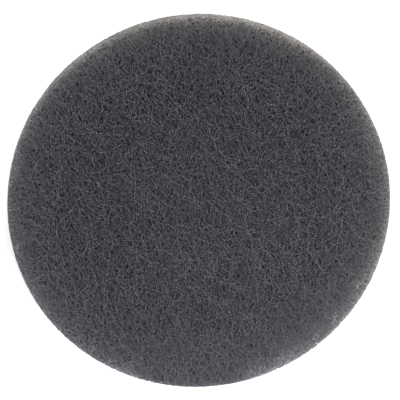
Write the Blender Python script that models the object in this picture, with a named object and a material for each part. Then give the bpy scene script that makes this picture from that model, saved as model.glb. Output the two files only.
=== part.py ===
"""Non-woven abrasive disc: one round pad, die-cut from a lofty web of crimped nylon fibres.

The disc is one piece. Each face is drawn as the web's outermost fibres: crimped runs that pass
over and under each other from crossing to crossing, the top ones all in one plane, with open
pores sunk between them. The wall is the die's cut, rounded where it meets the faces and frayed
by the cut ends. Lengths are in metres, +Z is up, and the origin is the centre of the underside.
"""

import math
import random

import bmesh
import bpy
from mathutils import Matrix, Vector
from mathutils.geometry import delaunay_2d_cdt

# Overall size
DISC_DIAMETER = 0.150
WEB_THICKNESS = 0.008

# Die cut
EDGE_ROUNDING = 0.0013  # the die drags the face's fibres over the corner
FRAY_DEPTH = 0.0008  # how far the gaps between the cut ends go into the wall
FRAYED_SHARE = 0.4  # share of the wall that lies in such a gap

# Crimped fibres of each face
FIBRES_PER_FACE = 75
FIBRE_RUN = 16  # crossings that a fibre passes before it dives into the web
CRIMP_TURN = math.radians(45)  # most that a fibre turns from one crossing to the next
LAY_ANGLE = math.radians(98)  # the way that most fibres lie, from +X
LAY_SPREAD = math.radians(48)  # how far they stray from it
LOWER_FIBRE_DEPTH = 0.0008  # deepest that a fibre lies under the top ones

# Pores between the fibres
PORE_DEPTH = 0.0021
SHALLOWEST_PORE = 0.0009
SCATTER = 0.3  # share of their distance by which the crossings stray from an even spread
LEVEL_CENTRE_RADIUS = 0.0045  # level patch in the middle of each face, to measure from

# Fineness of the drawing: the real web's crossings lie about half as far apart
CROSSINGS_PER_FACE = 2300
RIM_CROSSINGS = 160
CORNER_STEPS = 2
WALL_BANDS = 2

# Finish: dark grey resin over nylon, with mineral grit
WEB_COLOUR = (0.055, 0.057, 0.064, 1.0)
WEB_ROUGHNESS = 0.92
SHARP_FOLD = math.radians(22)

TOP_SEED = 11
UNDERSIDE_SEED = 23
WALL_SEED = 5
GOLDEN_ANGLE = math.pi * (3 - math.sqrt(5))
SAME_PLACE = 1e-6  # points nearer than this are one

DISC_RADIUS = DISC_DIAMETER / 2
# The corner's rounding is limited by the wall that it rounds.
CORNER_RADIUS = min(EDGE_ROUNDING, 0.45 * WEB_THICKNESS)
FACE_RADIUS = DISC_RADIUS - CORNER_RADIUS


def clear_scene():
    """Remove every object of the open file."""
    for obj in list(bpy.data.objects):
        bpy.data.objects.remove(obj)


def web_material():
    """Return the one finish of the disc: matt dark grey resin on nylon."""
    material = bpy.data.materials.new("resin_bonded_nylon_web")
    material.use_nodes = True
    shader = material.node_tree.nodes["Principled BSDF"]
    shader.inputs["Base Color"].default_value = WEB_COLOUR
    shader.inputs["Roughness"].default_value = WEB_ROUGHNESS
    shader.inputs["Metallic"].default_value = 0.0
    material.diffuse_color = WEB_COLOUR
    return material


def rim_points():
    """Return the crossings along the face's outline, evenly spread."""
    step = 2 * math.pi / RIM_CROSSINGS
    angles = [i * step for i in range(RIM_CROSSINGS)]
    return [FACE_RADIUS * Vector((math.cos(angle), math.sin(angle))) for angle in angles]


def inner_points(rng):
    """Return the crossings inside the outline, spread like a sunflower's seeds and then scattered."""
    distance = FACE_RADIUS * math.sqrt(math.pi / CROSSINGS_PER_FACE)
    reach = FACE_RADIUS - 0.75 * distance
    points = []
    for i in range(CROSSINGS_PER_FACE):
        radius = reach * math.sqrt((i + 0.5) / CROSSINGS_PER_FACE)
        spot = radius * Vector((math.cos(i * GOLDEN_ANGLE), math.sin(i * GOLDEN_ANGLE)))
        stray = SCATTER * distance * Vector((rng.uniform(-1, 1), rng.uniform(-1, 1)))
        points.append(spot + stray if (spot + stray).length < reach else spot)
    return points


def add_face(bm, height, outward, rng):
    """Add one level face as a net of triangles between the crossings, facing up or down."""
    rim = rim_points()
    outline = [(i, (i + 1) % RIM_CROSSINGS) for i in range(RIM_CROSSINGS)]
    net = delaunay_2d_cdt(rim + inner_points(rng), outline, [], 1, SAME_PLACE)
    spots, triangles = net[0], net[2]
    verts = [bm.verts.new((spot.x, spot.y, height)) for spot in spots]
    for triangle in triangles:
        order = triangle if outward > 0 else reversed(triangle)
        bm.faces.new([verts[i] for i in order])


def wall_profile():
    """Return (radius, height) of each ring of the wall, from the top face down to the underside."""
    upper = WEB_THICKNESS - CORNER_RADIUS
    lower = CORNER_RADIUS
    angles = [math.pi / 2 * i / CORNER_STEPS for i in range(CORNER_STEPS + 1)]
    corner = [(FACE_RADIUS + CORNER_RADIUS * math.sin(a), CORNER_RADIUS * math.cos(a)) for a in angles]
    rings = [(radius, upper + rise) for radius, rise in corner]
    rings += [(DISC_RADIUS, upper + (lower - upper) * i / WALL_BANDS) for i in range(1, WALL_BANDS)]
    rings += [(radius, lower - rise) for radius, rise in reversed(corner)]
    return rings


def add_wall(bm):
    """Add the die-cut wall as rings of the profile, each bridged to the next."""
    loops = []
    for radius, height in wall_profile():
        place = Matrix.Translation((0, 0, height))
        ring = bmesh.ops.create_circle(bm, segments=RIM_CROSSINGS, radius=radius, matrix=place)
        loops.append({edge for vert in ring["verts"] for edge in vert.link_edges})
    for above, below in zip(loops, loops[1:]):
        bmesh.ops.bridge_loops(bm, edges=list(above | below))


def plain_disc(bm):
    """Fill the bmesh with the closed, rounded disc, before any pore is sunk into it."""
    add_face(bm, WEB_THICKNESS, 1, random.Random(TOP_SEED))
    add_face(bm, 0.0, -1, random.Random(UNDERSIDE_SEED))
    add_wall(bm)
    bmesh.ops.remove_doubles(bm, verts=bm.verts, dist=SAME_PLACE)
    bmesh.ops.triangulate(bm, faces=bm.faces)
    bmesh.ops.recalc_face_normals(bm, faces=bm.faces)
    bm.normal_update()


def crossing_ahead(vert, heading, face):
    """Return the neighbouring crossing of the face nearest to the heading, or None past the cut."""
    neighbours = [edge.other_vert(vert) for edge in vert.link_edges]
    ways = {n: (n.co - vert.co).normalized().dot(heading) for n in neighbours if n in face}
    nearest = max(ways, key=ways.get)
    return nearest if ways[nearest] > 0.5 else None


def fibre_run(start, face, rng):
    """Follow one crimped fibre across the face and return the crossings that it passes over."""
    angle = rng.gauss(LAY_ANGLE, LAY_SPREAD)
    run = [start]
    while len(run) < FIBRE_RUN:
        angle += rng.uniform(-CRIMP_TURN, CRIMP_TURN)
        ahead = crossing_ahead(run[-1], Vector((math.cos(angle), math.sin(angle), 0)), face)
        if ahead is None:
            break
        run.append(ahead)
    return run


def fibre_depths(verts, rng):
    """Return the depth of the highest fibre over each crossing that a fibre passes."""
    face = set(verts)
    depths = {}
    for _ in range(FIBRES_PER_FACE):
        layer = max(0.0, rng.uniform(-LOWER_FIBRE_DEPTH, LOWER_FIBRE_DEPTH))
        for vert in fibre_run(rng.choice(verts), face, rng):
            depths[vert] = min(depths.get(vert, layer), layer)
    return depths


def face_depths(verts, rng):
    """Return how deep each crossing of a face lies: on a fibre, or in a pore that fibres ring."""
    depths = fibre_depths(verts, rng)
    pores = set()
    between = [vert for vert in verts if vert not in depths]
    rng.shuffle(between)
    for vert in between:
        if pores.isdisjoint(edge.other_vert(vert) for edge in vert.link_edges):
            pores.add(vert)
            depths[vert] = rng.uniform(SHALLOWEST_PORE, PORE_DEPTH)
        else:
            depths[vert] = rng.uniform(0, LOWER_FIBRE_DEPTH)
    for vert in verts:
        if vert.co.xy.length < LEVEL_CENTRE_RADIUS:
            depths[vert] = 0.0
    return depths


def wall_depths(verts, rng):
    """Return how deep each point of the wall lies in the gaps between the cut ends."""
    return {vert: rng.uniform(0, FRAY_DEPTH) if rng.random() < FRAYED_SHARE else 0.0 for vert in verts}


def sink_pores(bm):
    """Sink the pores and the lower fibres into the faces, and the frayed gaps into the wall."""
    inside = [vert for vert in bm.verts if vert.co.xy.length < FACE_RADIUS - SAME_PLACE]
    wall = [vert for vert in bm.verts if vert.co.xy.length >= FACE_RADIUS - SAME_PLACE]
    top = [vert for vert in inside if vert.co.z > WEB_THICKNESS / 2]
    underside = [vert for vert in inside if vert.co.z < WEB_THICKNESS / 2]
    depths = face_depths(top, random.Random(TOP_SEED))
    depths |= face_depths(underside, random.Random(UNDERSIDE_SEED))
    depths |= wall_depths(wall, random.Random(WALL_SEED))
    for vert, depth in depths.items():
        vert.co -= depth * vert.normal


def abrasive_disc():
    """Build the disc as one closed solid and return its object."""
    bm = bmesh.new()
    plain_disc(bm)
    sink_pores(bm)
    mesh = bpy.data.meshes.new("abrasive_disc")
    bm.to_mesh(mesh)
    bm.free()
    mesh.shade_smooth()
    mesh.set_sharp_from_angle(angle=SHARP_FOLD)
    mesh.materials.append(web_material())
    return bpy.data.objects.new("abrasive_disc", mesh)


def main():
    """Clear the file and put the disc in the scene."""
    clear_scene()
    bpy.context.collection.objects.link(abrasive_disc())


main()
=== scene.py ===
"""Looks of a non-woven abrasive disc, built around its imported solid.

The solid is one closed pad. Here the pad is drawn as the web that it is: thousands of crimped
nylon fibres in a loose mat, stuck together where they cross by a dark resin that holds the grit.
Lengths are in metres, +Z is the disc's axis, and the origin is the centre of the underside.
"""

import logging
import math
import random
from dataclasses import dataclass, field
from enum import Enum

import bmesh
import bpy
import numpy as np
from mathutils import Matrix, Vector


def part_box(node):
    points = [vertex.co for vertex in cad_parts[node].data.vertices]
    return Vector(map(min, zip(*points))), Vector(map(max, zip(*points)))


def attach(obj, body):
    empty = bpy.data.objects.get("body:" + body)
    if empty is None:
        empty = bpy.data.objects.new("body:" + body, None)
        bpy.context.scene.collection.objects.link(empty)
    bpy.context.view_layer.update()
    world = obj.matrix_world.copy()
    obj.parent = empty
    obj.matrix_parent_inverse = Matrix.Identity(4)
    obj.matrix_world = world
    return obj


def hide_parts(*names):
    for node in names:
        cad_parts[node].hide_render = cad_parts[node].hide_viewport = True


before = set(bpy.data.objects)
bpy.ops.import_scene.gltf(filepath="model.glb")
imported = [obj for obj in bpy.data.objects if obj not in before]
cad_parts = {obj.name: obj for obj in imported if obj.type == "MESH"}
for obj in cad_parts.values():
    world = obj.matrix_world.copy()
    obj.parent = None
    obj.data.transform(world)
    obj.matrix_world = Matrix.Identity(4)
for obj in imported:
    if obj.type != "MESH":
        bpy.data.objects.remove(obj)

LOG = logging.getLogger("abrasive_disc")
NODE = "abrasive_disc"
BODY = "root"
MM = 0.001
SAME_PLACE = 1e-6  # points nearer than this are one

# Colour sockets of a Mix node, by number
MIX_FROM = 6
MIX_TO = 7
MIXED = 2

# How far fibres differ, as shares of the usual
THICKNESSES = (0.8, 1.25)
WAVE_PACES = (0.6, 1.5)

# The map that the pieces' finish is baked on
MAP_WIDTH = 2.4  # in radii of the disc
MAP_MIDDLE = 0.5
MAP_LEAN = (0.4, 0.3)  # along X and Y, for each unit of height

Tree = bpy.types.NodeTree
Socket = bpy.types.NodeSocket
Point = tuple[float, float, float]
Path = list[Point]  # of one stretch of fibre


class Tone(Enum):
    """How much resin and grit a fibre took up, which sets how pale it looks. The darkest tone also
    stands for painted shade on the deeper webs.
    """

    CAKED = 0
    COATED = 1
    THIN = 2
    BARE = 3


def linear(hex_colour: str) -> tuple[float, float, float, float]:
    """Turn an sRGB hex colour into the linear values that a socket takes.

    Args:
        hex_colour: six hex digits, with or without a leading #.

    Returns:
        Linear red, green, blue, and an alpha of one.
    """
    digits = hex_colour.lstrip("#")
    channels = [int(digits[i : i + 2], 16) / 255 for i in (0, 2, 4)]
    straight = [c / 12.92 if c <= 0.04045 else ((c + 0.055) / 1.055) ** 2.4 for c in channels]
    return (*straight, 1.0)


def add_node(tree: Tree, kind: str, settings: dict, links: dict) -> bpy.types.Node:
    """Add one shader node with its settings and links.

    Args:
        tree: the node tree that gets the node.
        kind: the node's type, without the leading ShaderNode.
        settings: values of the node itself by name, or of its inputs by name or number.
        links: the output socket that feeds each input, by the input's name or number.

    Returns:
        The new node.
    """
    node = tree.nodes.new("ShaderNode" + kind)
    for name, value in settings.items():
        if isinstance(name, int) or name in node.inputs:
            node.inputs[name].default_value = value
        else:
            setattr(node, name, value)
    for name, source in links.items():
        tree.links.new(source, node.inputs[name])
    return node


def pointing(angle: float) -> Vector:
    """Return the level vector of length one that points this way from +X."""
    return Vector((math.cos(angle), math.sin(angle)))


@dataclass(frozen=True)
class Ramp:
    """A level that changes smoothly with a value on the surface, and is steady past both ends."""

    value: Socket
    low: float  # the value at which the level starts to change
    high: float  # and the value at which it is done
    at_low: float
    at_high: float


def graded(tree: Tree, ramps: list[Ramp]) -> Socket:
    """Multiply the levels of some ramps with each other.

    Args:
        tree: the material's node tree.
        ramps: the ramps, one or more.

    Returns:
        The product.
    """
    total = None
    for ramp in ramps:
        ends = {"From Min": ramp.low, "From Max": ramp.high}
        levels = {"To Min": ramp.at_low, "To Max": ramp.at_high}
        smooth = {"interpolation_type": "SMOOTHSTEP", **ends, **levels}
        level = add_node(tree, "MapRange", smooth, {"Value": ramp.value}).outputs["Result"]
        if total is not None:
            sockets = {0: total, 1: level}
            level = add_node(tree, "Math", {"operation": "MULTIPLY"}, sockets).outputs[0]
        total = level
    return total


@dataclass(frozen=True)
class PaintedRimGlow:
    """A pale painted glow near the cut, which stands for light shining through the open web.

    It is strongest at the cut itself and low on the wall, in patches, and hardly there on one
    side, where the edge looks crisp. A faint painted glow covers a wide belt inside the cut too.
    Where grit gathers, the glow is weaker, in specks. Sides are angles from +X.
    """

    reach_mm: float = 26.0  # from the cut to where the painted glow has faded out
    patch_mm: float = 12.0
    patch_levels: tuple[float, float] = (0.35, 0.65)  # of the noise, for the weakest and strongest painted glow
    patchiness: float = 0.2
    speckle: float = 0.75
    speckle_levels: tuple[float, float] = (0.4, 0.6)  # of the noise, for least and most grit
    bright_side: float = math.radians(160)  # where the painted glow is brighter
    lean: float = 0.2
    dim_side: float = math.radians(75)
    dim_width: float = math.radians(21)
    dimmest: float = 0.2  # share of the painted glow that is left on the dim side
    low_mm: float = 6.0  # height over the underside under which the wall gets more painted glow
    low_glow: float = 1.8
    belt_mm: float = 30.0  # from the cut to where the belt of faint painted glow has faded out
    full_belt_mm: float = 9.0  # and to where it is at its full strength
    belt_glow: float = 0.04
    belt_side: float = math.radians(66)
    belt_lean: float = 0.3
    yellow_hex: str = "#D6D2CB"  # the painted glow on its yellower side, where it stands for warm light
    grey_hex: str = "#D0CFCE"  # and on the other
    yellow_side: float = math.radians(-156)

    def share(
        self, tree: Tree, place: Socket, grit: Socket, cut_radius: float, most: float, fall: float
    ) -> Socket:
        """Work out how strong the painted glow is.

        Args:
            tree: the material's node tree.
            place: the Object coordinates.
            grit: the noise that says where the grit gathers.
            cut_radius: from the disc's axis to the die's cut.
            most: the share of painted glow at the cut itself.
            fall: how fast that share falls away from the cut.

        Returns:
            The share of painted glow, from none to one.
        """
        flatten = {"operation": "MULTIPLY", 1: (1, 1, 0)}
        flat = add_node(tree, "VectorMath", flatten, {0: place}).outputs["Vector"]
        length = add_node(tree, "VectorMath", {"operation": "LENGTH"}, {0: flat})
        radius = length.outputs["Value"]
        reach = {"From Min": cut_radius - self.reach_mm * MM, "From Max": cut_radius}
        near = add_node(tree, "MapRange", reach, {"Value": radius})
        rise = add_node(tree, "Math", {"operation": "POWER", 1: fall}, {0: near.outputs["Result"]})
        outwards = add_node(tree, "VectorMath", {"operation": "NORMALIZE"}, {0: flat})
        towards = {}
        for side in (self.bright_side, self.dim_side, self.belt_side):
            along = {"operation": "DOT_PRODUCT", 1: (*pointing(side), 0)}
            dot = add_node(tree, "VectorMath", along, {0: outwards.outputs["Vector"]})
            towards[side] = dot.outputs["Value"]
        noise = {"Scale": 1 / (self.patch_mm * MM), "Detail": 1.0}
        patches = add_node(tree, "TexNoise", noise, {"Vector": place}).outputs["Fac"]
        height = add_node(tree, "SeparateXYZ", {}, {"Vector": place}).outputs["Z"]

        least_glow, most_glow = most * (1 - self.patchiness), most * (1 + self.patchiness)
        dim_from, dim_to = math.cos(self.dim_width), math.cos(self.dim_width / 2)
        belt_from, belt_to = cut_radius - self.belt_mm * MM, cut_radius - self.full_belt_mm * MM
        speckles = Ramp(grit, *self.speckle_levels, 1 + self.speckle, 1 - self.speckle)
        # Painted glow: in patches, more low on the wall and on one side, less on the dim side
        glow_ramps = [
            speckles,
            Ramp(patches, *self.patch_levels, least_glow, most_glow),
            Ramp(height, 0.0, self.low_mm * MM, self.low_glow, 1.0),
            Ramp(towards[self.bright_side], -1, 1, 1 - self.lean, 1 + self.lean),
            Ramp(towards[self.dim_side], dim_from, dim_to, 1.0, self.dimmest),
        ]
        # A faint painted glow over a wide belt inside the cut
        belt_ramps = [
            speckles,
            Ramp(radius, belt_from, belt_to, 0.0, self.belt_glow),
            Ramp(towards[self.belt_side], -1, 1, 1 - self.belt_lean, 1 + self.belt_lean),
        ]
        sockets = {0: rise.outputs[0], 1: graded(tree, glow_ramps), 2: graded(tree, belt_ramps)}
        return add_node(tree, "Math", {"operation": "MULTIPLY_ADD"}, sockets).outputs[0]

    def nylon(self, tree: Tree, place: Socket, cut_radius: float) -> Socket:
        """Colour the painted glow.

        Args:
            tree: the material's node tree.
            place: the Object coordinates.
            cut_radius: from the disc's axis to the die's cut.

        Returns:
            The glow's colour, which is a little yellower on one side, as painted warm light.
        """
        along = {"operation": "DOT_PRODUCT", 1: (*pointing(self.yellow_side), 0)}
        aside = add_node(tree, "VectorMath", along, {0: place}).outputs["Value"]
        yellowness = graded(tree, [Ramp(aside, -cut_radius, cut_radius, 0.0, 1.0)])
        colours = {MIX_FROM: linear(self.grey_hex), MIX_TO: linear(self.yellow_hex)}
        mix = {"data_type": "RGBA", **colours}
        return add_node(tree, "Mix", mix, {"Factor": yellowness}).outputs[MIXED]


# Painted glow of light shining through the open web at the rim
RIM_GLOW = PaintedRimGlow()


@dataclass(frozen=True)
class ResinCoat:
    """Phenolic resin with fine mineral grit, sprayed and baked onto crimped nylon fibre.

    The resin is dark and a little glossy. The grit in it breaks the gloss up, and where it
    gathers, the fibre looks greyer and duller. Towards the cut, a pale painted glow stands for
    light shining through the open web there, and grows more and more.
    """

    name: str
    resin_hex: str
    grit_hex: str
    glow_most: float = 0.49  # share of the painted glow at the cut itself
    glow_fall: float = 8.4  # how fast that share falls away from the cut
    grit_patch_mm: float = 0.46
    grit_levels: tuple[float, float] = (0.42, 0.58)  # of the noise, for plain resin and full grit
    grain_mm: float = 0.35  # real grit is a tenth of this, too fine to show
    grain_height_mm: float = 0.05
    roughness: float = 0.62
    gritty_roughness: float = 0.9
    ior: float = 1.55  # of baked phenolic resin

    def material(self, cut_radius: float) -> bpy.types.Material:
        """Make the coat's material, which reads Object coordinates.

        Args:
            cut_radius: from the disc's axis to the die's cut.

        Returns:
            The new material.
        """
        material = bpy.data.materials.new(self.name)
        material.use_nodes = True
        tree = material.node_tree
        tree.nodes.clear()
        place = add_node(tree, "TexCoord", {}, {}).outputs["Object"]
        noise = {"Scale": 1 / (self.grit_patch_mm * MM), "Detail": 0.0}
        grit = add_node(tree, "TexNoise", noise, {"Vector": place}).outputs["Fac"]
        levels = dict(zip(("From Min", "From Max"), self.grit_levels))
        gritty = add_node(tree, "MapRange", levels, {"Value": grit}).outputs["Result"]

        colours = {MIX_FROM: linear(self.resin_hex), MIX_TO: linear(self.grit_hex)}
        coat = add_node(tree, "Mix", {"data_type": "RGBA", **colours}, {"Factor": gritty})
        # Painted glow near the cut, over the resin and grit
        sockets = {
            "Factor": RIM_GLOW.share(tree, place, grit, cut_radius, self.glow_most, self.glow_fall),
            MIX_FROM: coat.outputs[MIXED],
            MIX_TO: RIM_GLOW.nylon(tree, place, cut_radius),
        }
        coat_with_glow = add_node(tree, "Mix", {"data_type": "RGBA"}, sockets)

        gloss = {"To Min": self.roughness, "To Max": self.gritty_roughness}
        rough = add_node(tree, "MapRange", gloss, {"Value": gritty})
        grain = add_node(tree, "TexNoise", {"Scale": 1 / (self.grain_mm * MM)}, {"Vector": place})
        rise = {"Distance": self.grain_height_mm * MM}
        bump = add_node(tree, "Bump", rise, {"Height": grain.outputs["Fac"]})
        sockets = {
            "Base Color": coat_with_glow.outputs[MIXED],
            "Roughness": rough.outputs["Result"],
            "Normal": bump.outputs["Normal"],
        }
        shader = add_node(tree, "BsdfPrincipled", {"IOR": self.ior}, sockets)
        add_node(tree, "OutputMaterial", {}, {"Surface": shader.outputs["BSDF"]})
        return material


COATS = {
    # Caked where the spray was heaviest: nearly black, so the gaps of the web look deep. On the
    # deeper webs this dark tone is painted shade.
    Tone.CAKED: ResinCoat(
        "caked_resin_and_painted_shade", "#2E2F35", "#6F7076", glow_most=0.57, glow_fall=6.8
    ),
    # An even coat: charcoal, with paler specks of grit along the strand.
    Tone.COATED: ResinCoat("resin_coated_nylon", "#2F3138", "#85868C"),
    # A thin coat: mid grey, the strands that stand out from the mat.
    Tone.THIN: ResinCoat(
        "thin_resin_on_nylon", "#3E4047", "#93949A", glow_most=0.43, glow_fall=9.6
    ),
    # Hardly any resin: a few light strands with a soft shine, and light tips in the wall.
    Tone.BARE: ResinCoat(
        "bare_crimped_nylon", "#7C7E84", "#9A9B9F", glow_most=0.95, roughness=0.5
    ),
}
# The matted middle: the same stuff with the shadow between its fibres in its colour, so the
# pores end in the dark. Its grain stands for fibres, and is drawn as coarse as they are.
CORE_COAT = ResinCoat(
    "matted_nylon_painted_shade",
    "#242529",
    "#3A3B40",
    glow_most=0.8,
    glow_fall=5.1,
    grit_patch_mm=1.0,
    grain_height_mm=0.3,
)


@dataclass(frozen=True)
class DiscForm:
    """The pad's outer form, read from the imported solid."""

    radius: float
    thickness: float
    corner: float = 1.3 * MM  # rounding where the wall meets the faces

    @classmethod
    def of_solid(cls) -> "DiscForm":
        """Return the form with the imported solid's diameter and thickness."""
        low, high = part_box(NODE)
        return cls(radius=(high.x - low.x) / 2, thickness=high.z - low.z)

    def drop(self, radius: float) -> float:
        """Return how far the rounded corner lies under the face at this radius."""
        past = min(max(radius - (self.radius - self.corner), 0.0), self.corner)
        return self.corner - math.sqrt(self.corner**2 - past**2)


@dataclass(frozen=True)
class Crimp:
    """The zigzag that a fibre keeps from its crimping, on the wandering path of its lay."""

    stride: float = 1.0 * MM
    zigzag: float = math.radians(18)  # how far each stride turns off the path
    unevenness: tuple[float, float] = (0.4, 1.6)  # shares of the zigzag, for single strides
    regular: float = 0.62  # share of the strides that turn to the other side than the last
    turn: float = math.radians(19)  # spread of the turn that each stride adds to the path
    pull: float = 0.25  # how strongly the path comes back to its own heading
    lay: float = math.radians(88)  # the way most fibres lie, from +X
    lay_spread: float = math.radians(27)

    def headings(self, rng: random.Random, home: float, strides: int) -> list[float]:
        """Lay out the course of one fibre.

        Args:
            rng: the source of chance.
            home: the way that the fibre lies on the whole.
            strides: how many strides the fibre takes.

        Returns:
            The heading of each stride.
        """
        heading = home
        side = rng.choice((-1, 1))
        course = []
        for _ in range(strides):
            heading += rng.gauss(0, self.turn) + self.pull * math.sin(home - heading)
            course.append(heading + side * self.zigzag * rng.uniform(*self.unevenness))
            side = -side if rng.random() < self.regular else side
        return course


RIM_CRIMP = Crimp(stride=1.3 * MM, lay_spread=math.radians(90))
DEEP_CRIMP = Crimp(stride=1.6 * MM)

# Shares of the fibres that took up much or little resin, by where they lie. That the deeper
# webs are darker than the outer ones is painted shade.
OUTER = {Tone.CAKED: 0.24, Tone.COATED: 0.35, Tone.THIN: 0.4, Tone.BARE: 0.01}
LOWER = {Tone.CAKED: 0.74, Tone.COATED: 0.25, Tone.THIN: 0.01}
CUT = {Tone.CAKED: 0.34, Tone.COATED: 0.34, Tone.THIN: 0.18, Tone.BARE: 0.14}
DEEP = {Tone.CAKED: 1.0}


@dataclass(frozen=True)
class Fibre:
    """One stretch of fibre between two cut or buried ends."""

    points: Path
    tone: Tone
    thickness: float  # as a share of the usual thickness


@dataclass
class Spread:
    """How many fibres cross each small square of the disc, to keep a web even."""

    square: float = 1.3 * MM
    counts: dict[tuple[int, int], int] = field(default_factory=dict)

    def squares(self, stretches: list[Path]) -> list[tuple[int, int]]:
        """Return the square that each point of a fibre's stretches lies in."""
        points = [point for stretch in stretches for point in stretch]
        return [(math.floor(x / self.square), math.floor(y / self.square)) for x, y, _ in points]

    def crowding(self, stretches: list[Path]) -> float:
        """Return how full the squares along a fibre are, on average."""
        squares = self.squares(stretches)
        return sum(self.counts.get(square, 0) for square in squares) / max(len(squares), 1)

    def lay(self, stretches: list[Path]) -> None:
        """Count one more fibre in the squares that it crosses."""
        for square in self.squares(stretches):
            self.counts[square] = self.counts.get(square, 0) + 1


@dataclass
class FibreWeb:
    """A heap of fibres that becomes one piece: each is a three-sided tube with closed ends.

    Real fibres are finer and lie much closer. These are drawn as thick, and so as few, as it
    takes for one to show at the photograph's scale, where a pixel is 0.4 mm.
    """

    name: str
    form: DiscForm
    seed: int
    fibre_length: float = 20 * MM
    total_length: float = 24.0
    fibre_radius: float = 0.16 * MM
    crimp: Crimp = field(default_factory=Crimp)
    tones: dict[Tone, float] = field(default_factory=lambda: OUTER)
    cut_scatter: float = 0.08 * MM  # how unevenly the die cut the fibres off
    choices: int = 4  # courses tried for each fibre, of which the least crowded is laid
    fewest_points: int = 3  # a stretch with fewer is left out
    wave_height: float = 0.45 * MM
    wave_length: float = 3.6 * MM

    def fibres(self) -> list[Fibre]:
        """Lay the fibres of this web, one after the other.

        Returns:
            Every stretch of fibre.
        """
        rng = random.Random(self.seed)
        spread = Spread()
        made = []
        for _ in range(round(self.total_length / self.fibre_length)):
            tone = rng.choices(list(self.tones), weights=list(self.tones.values()))[0]
            thickness = rng.uniform(*THICKNESSES)
            home = rng.gauss(self.crimp.lay, self.crimp.lay_spread)
            tries = [self.stretches(rng, home) for _ in range(self.choices)]
            fitting = min(tries, key=spread.crowding)
            spread.lay(fitting)
            made += [Fibre(points, tone, thickness) for points in fitting]
        return made

    def stretches(self, rng: random.Random, home: float) -> list[Path]:
        """Lay one fibre over the disc.

        Where the die cuts a fibre off, the rest of it comes in again at the opposite side, so the
        web is as dense at the rim as in the middle.

        Args:
            rng: the source of chance.
            home: the way that the fibre lies on the whole.

        Returns:
            The fibre's stretches inside the cut.
        """
        course = self.crimp.headings(rng, home, round(self.fibre_length / self.crimp.stride))
        depths = self.depths(rng, len(course) + 1)
        spot = self.start(rng)
        points = [self.lifted(spot, depths[0])]
        stretches = [points]
        for heading, depth in zip(course, depths[1:]):
            step = pointing(heading) * self.crimp.stride
            cut = self.form.radius - self.fibre_radius - abs(rng.gauss(0, self.cut_scatter))
            if (spot + step).length > cut:
                points.append(self.lifted(cut_off(spot, step, cut), depth))
                points = []
                stretches.append(points)
                spot = -spot
            spot = spot + step
            points.append(self.lifted(spot, depth))
        return [points for points in stretches if len(points) >= self.fewest_points]

    def start(self, rng: random.Random) -> Vector:
        """Return a random place inside the cut for a fibre to start at."""
        radius = (self.form.radius - self.crimp.stride) * math.sqrt(rng.random())
        return pointing(rng.uniform(0, math.tau)) * radius

    def waves(self, rng: random.Random, middle: float, count: int) -> list[float]:
        """Let a fibre rise and fall in slow waves.

        Args:
            rng: the source of chance.
            middle: the depth that the waves go above and below.
            count: how many points the fibre has.

        Returns:
            The depth of each point.
        """
        phase = rng.uniform(0, math.tau)
        pace = math.tau * self.crimp.stride / self.wave_length * rng.uniform(*WAVE_PACES)
        return [middle + self.wave_height * math.sin(phase + i * pace) for i in range(count)]

    def depths(self, rng: random.Random, count: int) -> list[float]:
        """Return the fibre's depth at each point. Each kind of web sets its own."""
        raise NotImplementedError

    def lifted(self, spot: Vector, depth: float) -> Point:
        """Return a point from where it lies and how deep. Each kind of web sets its own."""
        raise NotImplementedError

    def build(self) -> bpy.types.Object:
        """Make the piece: curves first, then one mesh with a map for its finish.

        Returns:
            The finished piece.
        """
        curve = bpy.data.curves.new(self.name + "_lines", "CURVE")
        curve.dimensions = "3D"
        curve.bevel_mode = "OBJECT"
        curve.bevel_object = section = fibre_section(self.fibre_radius)
        curve.use_fill_caps = True
        tones = list(Tone)
        for tone in tones:
            curve.materials.append(coat_material(COATS[tone], self.form))
        for fibre in self.fibres():
            spline = curve.splines.new("POLY")
            spline.points.add(len(fibre.points) - 1)
            spline.points.foreach_set("co", [c for point in fibre.points for c in (*point, 1.0)])
            spline.points.foreach_set("radius", [fibre.thickness] * len(fibre.points))
            spline.material_index = tones.index(fibre.tone)
        lines = bpy.data.objects.new(self.name + "_lines", curve)
        bpy.context.collection.objects.link(lines)
        tubes = lines.evaluated_get(bpy.context.evaluated_depsgraph_get())
        mesh = bpy.data.meshes.new_from_object(tubes)
        bpy.data.objects.remove(lines)
        bpy.data.objects.remove(section)
        mesh.name = self.name
        mesh.shade_smooth()
        return finished_piece(self.name, mesh, self.form)


@dataclass
class FaceWeb(FibreWeb):
    """Fibres that lie along one face, within a range of depths under it."""

    shallowest: float = 0.3 * MM
    deepest: float = 0.5 * MM
    up: bool = True

    def depths(self, rng: random.Random, count: int) -> list[float]:
        """Return how deep under the face the fibre lies at each point, in slow waves."""
        waves = self.waves(rng, rng.uniform(self.shallowest, self.deepest), count)
        return [max(0.0, wave) for wave in waves]

    def lifted(self, spot: Vector, depth: float) -> Point:
        """Return a point at this depth under its face, which drops at the rounded corner."""
        under = self.form.drop(spot.length) + self.fibre_radius + depth
        return (spot.x, spot.y, self.form.thickness - under if self.up else under)


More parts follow.
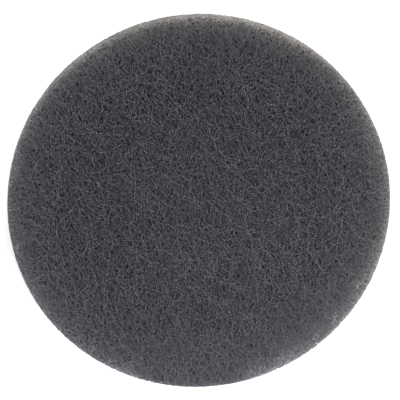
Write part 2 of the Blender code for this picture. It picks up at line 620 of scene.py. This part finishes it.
@dataclass
class RimWeb(FibreWeb):
    """Fibres at every height of the wall, as far in as the eye reaches between them."""

    reach: float = 2.5 * MM
    clearance: float = 3.0  # between the faces and the middle of the waves, in fibre radii
    wave_height: float = 1.2 * MM
    wave_length: float = 14 * MM

    def depths(self, rng: random.Random, count: int) -> list[float]:
        """Let the fibre rise and fall between the faces.

        Args:
            rng: the source of chance.
            count: how many points the fibre has.

        Returns:
            How high over the underside each point lies.
        """
        low = self.clearance * self.fibre_radius
        high = self.form.thickness - low
        waves = self.waves(rng, rng.uniform(low, high), count)
        return [min(max(wave, low), high) for wave in waves]

    def start(self, rng: random.Random) -> Vector:
        """Pick a place in the ring that the eye reaches, for a fibre to start at.

        Args:
            rng: the source of chance.

        Returns:
            The place.
        """
        inner, outer = self.form.radius - self.reach, self.form.radius - self.crimp.stride
        radius = math.sqrt(rng.uniform(inner**2, outer**2))
        return pointing(rng.uniform(0, math.tau)) * radius

    def lifted(self, spot: Vector, depth: float) -> Point:
        """Return a point at this height, kept under the rounded corners."""
        drop = self.form.drop(spot.length) + self.fibre_radius
        return (spot.x, spot.y, min(max(depth, drop), self.form.thickness - drop))


@dataclass
class CutEnds(RimWeb):
    """The ends of the fibres that the die cut through, which stand side by side in the wall."""

    count: int = 14000
    lean: float = math.radians(80)  # most that the ends stray from straight outwards
    shortest: float = 1.0 * MM
    longest: float = 2.4 * MM
    climb: float = 0.8 * MM  # most that an end rises or falls on its way out

    def fibres(self) -> list[Fibre]:
        """Stand the cut ends side by side round the wall, at every height of it.

        Returns:
            Each end.
        """
        rng = random.Random(self.seed)
        made = []
        for i in range(self.count):
            tone = rng.choices(list(self.tones), weights=list(self.tones.values()))[0]
            points = self.cut_end(rng, math.tau * (i + rng.random()) / self.count)
            made.append(Fibre(points, tone, rng.uniform(*THICKNESSES)))
        return made

    def cut_end(self, rng: random.Random, angle: float) -> Path:
        """Lay one end, from inside the web out to the cut.

        Args:
            rng: the source of chance.
            angle: where on the wall it ends.

        Returns:
            Its root and its tip.
        """
        tip_radius = self.form.radius - self.fibre_radius - abs(rng.gauss(0, self.cut_scatter))
        tip = pointing(angle) * tip_radius
        along = pointing(angle + rng.triangular(-self.lean, self.lean))
        root = tip - along * rng.uniform(self.shortest, self.longest)
        height = rng.uniform(0, self.form.thickness)
        climb = rng.uniform(-self.climb, self.climb)
        return [self.lifted(root, height - climb), self.lifted(tip, height)]


@dataclass
class WebCore:
    """The matted middle of the web, which closes the pores below the fibres that show."""

    name: str
    form: DiscForm
    rim_depth: float = 0.9 * MM
    face_depth: float = 1.8 * MM
    face_depth_at_rim: float = 0.9 * MM
    rim_width: float = 10 * MM  # over which the core comes nearer to the faces
    roughening: float = 0.5 * MM
    seed: int = 3

    def build(self) -> bpy.types.Object:
        """Make the core from the solid's own pitted form, drawn in from its faces and its wall.

        Returns:
            The finished piece.
        """
        bm = bmesh.new()
        bm.from_mesh(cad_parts[NODE].data)
        bmesh.ops.remove_doubles(bm, verts=bm.verts, dist=SAME_PLACE)
        inward = (self.form.radius - self.rim_depth) / self.form.radius
        flatter = 1 - 2 * self.face_depth / self.form.thickness
        middle = Matrix.Translation((0, 0, -self.form.thickness / 2))
        bmesh.ops.scale(bm, vec=(inward, inward, flatter), space=middle, verts=bm.verts)
        rng = random.Random(self.seed)
        bm.normal_update()
        for vert in bm.verts:
            vert.co -= vert.normal * rng.uniform(0, self.roughening)
            vert.co.z = self.nearer_to_face(vert.co)
        mesh = bpy.data.meshes.new(self.name)
        bm.to_mesh(mesh)
        bm.free()
        mesh.materials.append(coat_material(CORE_COAT, self.form))
        mesh.shade_smooth()
        return finished_piece(self.name, mesh, self.form)

    def nearer_to_face(self, spot: Vector) -> float:
        """Thicken the core near the cut.

        Args:
            spot: a point of a core that is as thick at the cut as in the middle.

        Returns:
            The height that the point gets.
        """
        middle = self.form.thickness / 2
        share = min(max((spot.xy.length - self.form.radius) / self.rim_width + 1, 0.0), 1.0)
        most = (middle - self.face_depth_at_rim) / (middle - self.face_depth) - 1
        return middle + (spot.z - middle) * (1 + most * share**2)


def cut_off(spot: Vector, step: Vector, radius: float) -> Vector:
    """Find where a step crosses a circle round the origin.

    Args:
        spot: where the step starts.
        step: the step, which ends outside the circle.
        radius: the circle's radius.

    Returns:
        The crossing, or the step's start if that lies outside too.
    """
    along = spot.dot(step.normalized())
    inside = along**2 - spot.length_squared + radius**2
    if inside < 0 or spot.length > radius:
        return spot
    return spot + step.normalized() * (math.sqrt(inside) - along)


def coat_material(coat: ResinCoat, form: DiscForm) -> bpy.types.Material:
    """Return the coat's material, made once."""
    return bpy.data.materials.get(coat.name) or coat.material(form.radius)


def fibre_section(radius: float) -> bpy.types.Object:
    """Make the section that each fibre's line is given.

    Args:
        radius: from the fibre's middle to a corner.

    Returns:
        A closed triangle.
    """
    curve = bpy.data.curves.new("fibre_section", "CURVE")
    curve.dimensions = "2D"
    spline = curve.splines.new("POLY")
    corners = [math.radians(degrees) for degrees in (90, 210, 330)]
    spline.points.add(len(corners) - 1)
    for point, angle in zip(spline.points, corners):
        point.co = (radius * math.cos(angle), radius * math.sin(angle), 0, 1)
    spline.use_cyclic_u = True
    section = bpy.data.objects.new("fibre_section", curve)
    bpy.context.collection.objects.link(section)
    return section


def finished_piece(name: str, mesh: bpy.types.Mesh, form: DiscForm) -> bpy.types.Object:
    """Give a mesh its map and make it a piece of the disc.

    The map looks straight down on the disc, and leans a little so that upright faces have width.

    Args:
        name: the piece's name.
        mesh: its shape, in the disc's own frame.
        form: the disc that it belongs to.

    Returns:
        The piece, which rides on the disc's body and stands for its solid.
    """
    places = np.empty(len(mesh.vertices) * 3, np.float32)
    mesh.vertices.foreach_get("co", places)
    x, y, z = places.reshape(-1, 3).T
    width = MAP_WIDTH * form.radius
    lean_x, lean_y = MAP_LEAN
    across = MAP_MIDDLE + (x + lean_x * z) / width
    along = MAP_MIDDLE + (y + lean_y * z) / width
    flat = np.stack((across, along), axis=1)
    corners = np.empty(len(mesh.loops), np.int32)
    mesh.loops.foreach_get("vertex_index", corners)
    while mesh.uv_layers:
        mesh.uv_layers.remove(mesh.uv_layers[0])
    mesh.uv_layers.new(name="OFBake").uv.foreach_set("vector", flat[corners].ravel())
    piece = bpy.data.objects.new(name, mesh)
    bpy.context.collection.objects.link(piece)
    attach(piece, BODY)
    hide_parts(NODE)
    return piece


@dataclass(frozen=True)
class Lamp:
    """A square soft lamp, given by where it hangs and how bright it makes a white surface."""

    name: str
    azimuth: float  # degrees from +X, seen from above
    elevation: float  # degrees over the floor
    level: float  # brightness of a white surface that faces the lamp
    hex_colour: str
    width: float
    distance: float  # from the origin

    def build(self) -> None:
        """Hang the lamp and aim it at the disc."""
        light = bpy.data.lights.new(self.name, "AREA")
        light.shape = "SQUARE"
        light.size = self.width
        light.color = linear(self.hex_colour)[:3]
        light.energy = self.level * (math.pi * self.distance) ** 2
        turn, rise = math.radians(self.azimuth), math.radians(self.elevation)
        aside = math.cos(rise)
        away = Vector((math.cos(turn) * aside, math.sin(turn) * aside, math.sin(rise)))
        lamp = bpy.data.objects.new(self.name, light)
        lamp.location = away * self.distance
        lamp.rotation_mode = "QUATERNION"
        lamp.rotation_quaternion = away.to_track_quat("Z", "Y")
        lamp.visible_camera = False
        bpy.context.collection.objects.link(lamp)


@dataclass(frozen=True)
class PhotoView:
    """The camera, from what the photograph shows of the disc, in its 400 pixel frame."""

    frame_px: float = 400.0
    disc_px: float = 383.2  # the outline's longest width
    centre_px: tuple[float, float] = (199.3, 203.7)  # where the disc's middle lies
    near_side: float = math.radians(104.3)  # where the wall shows, from the image's right
    tilt: float = math.radians(15.4)  # from straight above, towards the near side
    distance: float = 0.9
    sensor_mm: float = 36.0

    def build(self, form: DiscForm) -> None:
        """Set the camera over the disc, with the disc's -Y side nearest.

        Args:
            form: the disc that it looks at.
        """
        width = 2 * form.radius
        camera = bpy.data.cameras.new("photo_camera")
        camera.sensor_width = self.sensor_mm
        camera.lens = self.distance * self.sensor_mm * self.disc_px / self.frame_px / width
        back = Vector((0, -math.sin(self.tilt), math.cos(self.tilt)))
        near = Vector((0, -math.cos(self.tilt), -math.sin(self.tilt)))
        right = Matrix.Rotation(-self.near_side, 3, back) @ near
        up = back.cross(right)
        turn = Matrix((right, up, back)).transposed()
        metres_per_px = width / self.disc_px
        aside = (self.frame_px / 2 - self.centre_px[0]) * metres_per_px
        lower = (self.centre_px[1] - self.frame_px / 2) * metres_per_px
        target = Vector((0, 0, form.thickness / 2))
        camera_object = bpy.data.objects.new("photo_camera", camera)
        camera_object.location = target + right * aside + up * lower + back * self.distance
        camera_object.rotation_mode = "QUATERNION"
        camera_object.rotation_quaternion = turn.to_quaternion()
        bpy.context.collection.objects.link(camera_object)
        bpy.context.scene.camera = camera_object


@dataclass(frozen=True)
class Studio:
    """A white floor that fades into a white room, and three soft lamps."""

    floor_width: float = 6.0
    floor_gap: float = 0.1 * MM  # between the floor and the disc's underside
    floor_hex: str = "#E7E7E7"
    floor_glow: float = 0.8  # added for the eye alone, so that the lit floor reads as pure white
    room_level: float = 0.26
    room_hex: str = "#F2F4FF"  # the room's light on the disc
    seen_hex: str = "#FFFFFF"  # and the room as the eye sees it
    lamps: tuple[Lamp, ...] = (
        Lamp("near_window", 92, 58, 0.55, "#F0F2FF", width=0.07, distance=0.19),
        Lamp("front_key", -105, 22, 0.7, "#FFFCF6", width=0.12, distance=0.6),
        Lamp("warm_side", 150, 16, 0.36, "#FFEFD9", width=0.3, distance=0.5),
    )

    def build(self) -> None:
        """Make the floor, the room's light and the lamps."""
        self.build_floor()
        self.build_room()
        for lamp in self.lamps:
            lamp.build()
        bpy.context.scene.view_settings.view_transform = "Standard"

    @staticmethod
    def seen_directly(tree: Tree) -> Socket:
        """Tell what the eye, a mirror or a glass sees from what lights the disc.

        Args:
            tree: the node tree of the floor's or the room's material.

        Returns:
            A socket that is one for what is seen, and otherwise zero.
        """
        path = add_node(tree, "LightPath", {}, {})
        seen = path.outputs["Is Camera Ray"]
        for ray in ("Is Glossy Ray", "Is Transmission Ray"):
            sockets = {0: seen, 1: path.outputs[ray]}
            seen = add_node(tree, "Math", {"operation": "MAXIMUM"}, sockets).outputs[0]
        return seen

    def build_floor(self) -> None:
        """Make the floor, which looks white and still takes the disc's shadow."""
        bm = bmesh.new()
        bmesh.ops.create_grid(bm, x_segments=1, y_segments=1, size=self.floor_width / 2)
        bmesh.ops.translate(bm, verts=bm.verts, vec=(0, 0, -self.floor_gap))
        mesh = bpy.data.meshes.new("floor")
        bm.to_mesh(mesh)
        bm.free()
        # Matt white paper, which has no shine of its own.
        material = bpy.data.materials.new("white_paper_floor")
        material.use_nodes = True
        tree = material.node_tree
        tree.nodes.clear()
        paper = add_node(tree, "BsdfDiffuse", {"Color": linear(self.floor_hex)}, {})
        strength = {"operation": "MULTIPLY", 1: self.floor_glow}
        glow = add_node(tree, "Math", strength, {0: self.seen_directly(tree)})
        shine = add_node(tree, "Emission", {}, {"Strength": glow.outputs[0]})
        both = add_node(tree, "AddShader", {}, {0: paper.outputs[0], 1: shine.outputs[0]})
        add_node(tree, "OutputMaterial", {}, {"Surface": both.outputs[0]})
        mesh.materials.append(material)
        floor = bpy.data.objects.new("floor", mesh)
        bpy.context.collection.objects.link(floor)

    def build_room(self) -> None:
        """Make the room: white to the eye, and an even soft light on the disc."""
        world = bpy.data.worlds.new("white_room")
        bpy.context.scene.world = world
        world.use_nodes = True
        tree = world.node_tree
        tree.nodes.clear()
        even = {"Color": linear(self.room_hex), "Strength": self.room_level}
        white = {"Color": linear(self.seen_hex), "Strength": 1.0}
        sockets = {0: self.seen_directly(tree)}
        for number, light in enumerate((even, white), start=1):
            sockets[number] = add_node(tree, "Background", light, {}).outputs[0]
        either = add_node(tree, "MixShader", {}, sockets)
        add_node(tree, "OutputWorld", {}, {"Surface": either.outputs[0]})


def webs(form: DiscForm) -> list[FibreWeb]:
    """List the fibre webs of the disc, from the upper face round the rim to the underside.

    Args:
        form: the disc that they fill.

    Returns:
        The webs, each of which becomes one piece.
    """
    top = {"fibre_radius": 0.104 * MM}
    # Seen between the top fibres, and under them in the pores
    upper = {"fibre_radius": 0.112 * MM, "shallowest": 0.6 * MM, "deepest": 0.9 * MM}
    inner = {"total_length": 22.0, "shallowest": 1.4 * MM, "deepest": 1.9 * MM}
    # In the wall
    rim = {"total_length": 14.0, "fibre_length": 14 * MM, "fibre_radius": 0.15 * MM}
    ends = {"fibre_radius": 0.13 * MM, "cut_scatter": 0.15 * MM}
    # Under the disc, where coarser fibres do
    under = {"total_length": 26.0, "shallowest": 0.0, "deepest": 0.9 * MM, "up": False}
    return [
        FaceWeb("top_fibres_1", form, 101, **top),
        FaceWeb("top_fibres_2", form, 102, **top),
        # The deeper webs take darker tones, as painted shade
        FaceWeb("upper_web_1", form, 103, tones=LOWER, **upper),
        FaceWeb("upper_web_2", form, 104, tones=LOWER, **upper),
        FaceWeb("inner_web", form, 105, tones=DEEP, crimp=DEEP_CRIMP, **inner),
        RimWeb("rim_web", form, 106, crimp=RIM_CRIMP, **rim),
        CutEnds("cut_ends", form, 108, tones=CUT, **ends),
        FaceWeb("underside_web", form, 107, crimp=RIM_CRIMP, **under),
    ]


def main() -> None:
    """Build the disc's pieces, then the studio and the camera around them."""
    logging.basicConfig(level=logging.INFO, format="%(name)s: %(message)s")
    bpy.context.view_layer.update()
    form = DiscForm.of_solid()
    pieces = [WebCore("web_core", form).build()]
    pieces += [web.build() for web in webs(form)]
    for piece in pieces:
        LOG.info("%s: %d faces", piece.name, len(piece.data.polygons))
    Studio().build()
    PhotoView().build(form)


if __name__ == "__main__":
    main()
